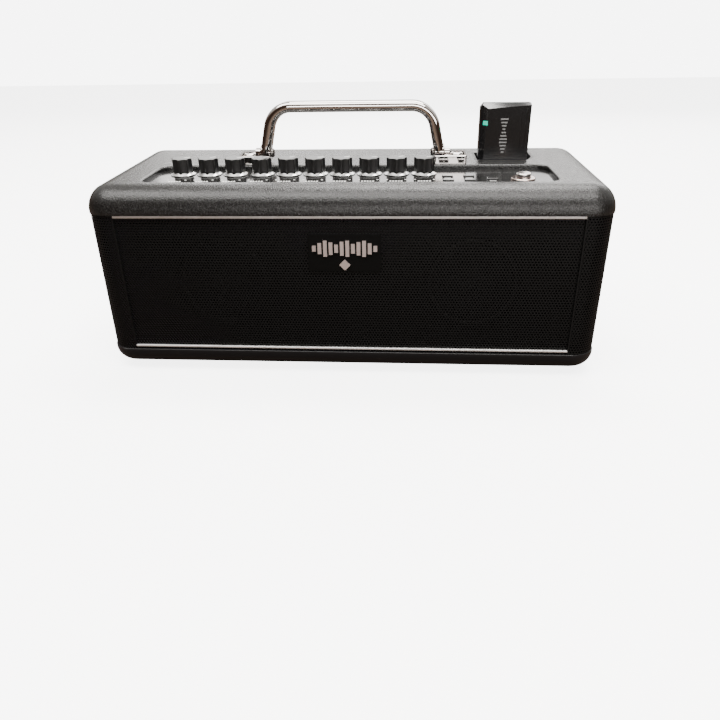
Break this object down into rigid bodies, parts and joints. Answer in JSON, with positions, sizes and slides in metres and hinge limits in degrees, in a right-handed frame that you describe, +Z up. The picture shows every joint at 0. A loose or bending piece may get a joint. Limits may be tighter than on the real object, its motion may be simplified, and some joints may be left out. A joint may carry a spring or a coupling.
{
  "type": "guitar amp head",
  "caption": "Compact desktop guitar amplifier in the shape of a small amp head, with a fold-down handle, recessed control panel, wrap-round perforated grille and plug-in wireless transmitter.",
  "frame": {"origin": "centre of the body's footprint, on the surface under the feet", "axes": "+X along the body's length to the player's right, +Y to the back, +Z up"},
  "size_m": [0.355, 0.144, 0.1801],
  "materials": {
    "cover_plastic": "textured charcoal",
    "base_plastic": "satin black",
    "rear_plastic": "fine textured black",
    "grille_steel": "perforated, satin black paint",
    "trim_dark": "satin",
    "trim_bright": "polished",
    "plaque_black": "satin black",
    "emblem_silver": "polished",
    "foot_rubber": "matte",
    "screw_steel": "black zinc",
    "panel_gloss": "piano black",
    "knob_plastic": "satin black",
    "collar_plastic": "gloss black",
    "ring_metal": "satin silver",
    "pot_metal": "plated",
    "switch_plastic": "matte",
    "board": "solder mask",
    "key_plastic": "gloss black",
    "bezel_metal": "polished",
    "power_metal": "polished",
    "chrome": "polished",
    "sender_plastic": "satin black",
    "lamp_lens": "lit green lens",
    "plug_metal": "nickel plated",
    "well_plastic": "black",
    "jack_plastic": "black",
    "baffle_wood": "black painted board",
    "cabinet_plastic": "black",
    "frame_steel": "black pressed steel",
    "cone_paper": "paper cone",
    "magnet": "ferrite",
    "surround_rubber": "matte",
    "usb_steel": "plated",
    "nut_steel": "plated",
    "cell_wrap": "plain sleeve",
    "door_plastic": "fine textured black",
    "pin_steel": "plated"
  },
  "bodies": {
    "amplifier": {"top_cover": "cover_plastic", "base_cover": "base_plastic", "rear_cover": "rear_plastic", "front_grille": "grille_steel", "trim_strip_top": "trim_dark", "trim_strip_bottom": "trim_bright", "badge_plaque": "plaque_black", "badge_emblem": "emblem_silver", "rubber_feet": "foot_rubber", "case_screws": "screw_steel", "control_panel": "panel_gloss", "knob_collars": "collar_plastic", "knob_rings": "ring_metal", "potentiometers": "pot_metal", "key_switches": "switch_plastic", "control_board": "board", "power_ring": "bezel_metal", "handle_brackets": "chrome", "handle_pins": "pin_steel", "handle_screws": "chrome", "dock_well": "well_plastic", "dock_jack": "jack_plastic", "speaker_baffle": "baffle_wood", "speaker_cabinet": "cabinet_plastic", "speaker_frames": "frame_steel", "speaker_cones": "cone_paper", "speaker_magnets": "magnet", "speaker_surrounds": "surround_rubber", "speaker_screws": "screw_steel", "guitar_jack": "jack_plastic", "phones_jack": "jack_plastic", "aux_jack": "jack_plastic", "jack_nuts": "nut_steel", "usb_socket": "usb_steel", "power_inlet": "jack_plastic", "main_board": "board", "battery_holder": "switch_plastic", "battery_cells": "cell_wrap", "door_pin": "pin_steel"},
    "handle": {"handle_bar": "chrome"},
    "transmitter": {"transmitter_case": "sender_plastic", "transmitter_lamp": "lamp_lens", "transmitter_plug": "plug_metal"},
    "battery_cover": {"battery_door": "door_plastic"},
    "power_key": {"power_button": "power_metal"},
    "key_1": {"panel_button_1": "key_plastic"},
    "key_2": {"panel_button_2": "key_plastic"},
    "key_3": {"panel_button_3": "key_plastic"},
    "key_4": {"panel_button_4": "key_plastic"},
    "key_5": {"panel_button_5": "key_plastic"},
    "amp_type_control": {"amp_type_knob": "knob_plastic"},
    "gain_control": {"gain_knob": "knob_plastic"},
    "volume_control": {"volume_knob": "knob_plastic"},
    "bass_control": {"bass_knob": "knob_plastic"},
    "middle_control": {"middle_knob": "knob_plastic"},
    "treble_control": {"treble_knob": "knob_plastic"},
    "boost_control": {"boost_knob": "knob_plastic"},
    "effect_control": {"effect_knob": "knob_plastic"},
    "reverb_control": {"reverb_knob": "knob_plastic"},
    "master_control": {"master_knob": "knob_plastic"}
  },
  "joints": [
    {"name": "handle_fold", "type": "hinge", "parent": "amplifier", "child": "handle", "pos_m": [0, 0.0072, 0.1444], "axis": [-1, 0, 0], "range_deg": [0, 84]},
    {"name": "transmitter_pull", "type": "slide", "parent": "amplifier", "child": "transmitter", "axis": [0, 0, 1], "range_m": [0, 0.034]},
    {"name": "battery_cover_hinge", "type": "hinge", "parent": "amplifier", "child": "battery_cover", "pos_m": [-0.064, 0.068, 0.0226], "axis": [-1, 0, 0], "range_deg": [0, 90]},
    {"name": "power_press", "type": "slide", "parent": "amplifier", "child": "power_key", "axis": [0, -0.0462, 0.9989], "range_m": [-0.0006, 0], "stiffness_N_per_m": 2500, "springref_m": 0.0002},
    {"name": "key_1_press", "type": "slide", "parent": "amplifier", "child": "key_1", "axis": [0, -0.0462, 0.9989], "range_m": [-0.0006, 0], "stiffness_N_per_m": 1500, "springref_m": 0.0002},
    {"name": "key_2_press", "type": "slide", "parent": "amplifier", "child": "key_2", "axis": [0, -0.0462, 0.9989], "range_m": [-0.0006, 0], "stiffness_N_per_m": 1500, "springref_m": 0.0002},
    {"name": "key_3_press", "type": "slide", "parent": "amplifier", "child": "key_3", "axis": [0, -0.0462, 0.9989], "range_m": [-0.0006, 0], "stiffness_N_per_m": 1500, "springref_m": 0.0002},
    {"name": "key_4_press", "type": "slide", "parent": "amplifier", "child": "key_4", "axis": [0, -0.0462, 0.9989], "range_m": [-0.0006, 0], "stiffness_N_per_m": 1500, "springref_m": 0.0002},
    {"name": "key_5_press", "type": "slide", "parent": "amplifier", "child": "key_5", "axis": [0, -0.0462, 0.9989], "range_m": [-0.0006, 0], "stiffness_N_per_m": 1500, "springref_m": 0.0002},
    {"name": "amp_type_turn", "type": "hinge", "parent": "amplifier", "child": "amp_type_control", "pos_m": [-0.1211, -0.01848, 0.13641], "axis": [0, -0.0462, 0.9989], "range_deg": [-150, 150]},
    {"name": "gain_turn", "type": "hinge", "parent": "amplifier", "child": "gain_control", "pos_m": [-0.10176, -0.01848, 0.13641], "axis": [0, -0.0462, 0.9989], "range_deg": [-150, 150]},
    {"name": "volume_turn", "type": "hinge", "parent": "amplifier", "child": "volume_control", "pos_m": [-0.08242, -0.01848, 0.13641], "axis": [0, -0.0462, 0.9989], "range_deg": [-150, 150]},
    {"name": "bass_turn", "type": "hinge", "parent": "amplifier", "child": "bass_control", "pos_m": [-0.06308, -0.01848, 0.13641], "axis": [0, -0.0462, 0.9989], "range_deg": [-150, 150]},
    {"name": "middle_turn", "type": "hinge", "parent": "amplifier", "child": "middle_control", "pos_m": [-0.04374, -0.01848, 0.13641], "axis": [0, -0.0462, 0.9989], "range_deg": [-150, 150]},
    {"name": "treble_turn", "type": "hinge", "parent": "amplifier", "child": "treble_control", "pos_m": [-0.0244, -0.01848, 0.13641], "axis": [0, -0.0462, 0.9989], "range_deg": [-150, 150]},
    {"name": "boost_turn", "type": "hinge", "parent": "amplifier", "child": "boost_control", "pos_m": [-0.00506, -0.01848, 0.13641], "axis": [0, -0.0462, 0.9989], "range_deg": [-150, 150]},
    {"name": "effect_turn", "type": "hinge", "parent": "amplifier", "child": "effect_control", "pos_m": [0.01428, -0.01848, 0.13641], "axis": [0, -0.0462, 0.9989], "range_deg": [-150, 150]},
    {"name": "reverb_turn", "type": "hinge", "parent": "amplifier", "child": "reverb_control", "pos_m": [0.03362, -0.01848, 0.13641], "axis": [0, -0.0462, 0.9989], "range_deg": [-150, 150]},
    {"name": "master_turn", "type": "hinge", "parent": "amplifier", "child": "master_control", "pos_m": [0.05296, -0.01848, 0.13641], "axis": [0, -0.0462, 0.9989], "range_deg": [-150, 150]}
  ]
}
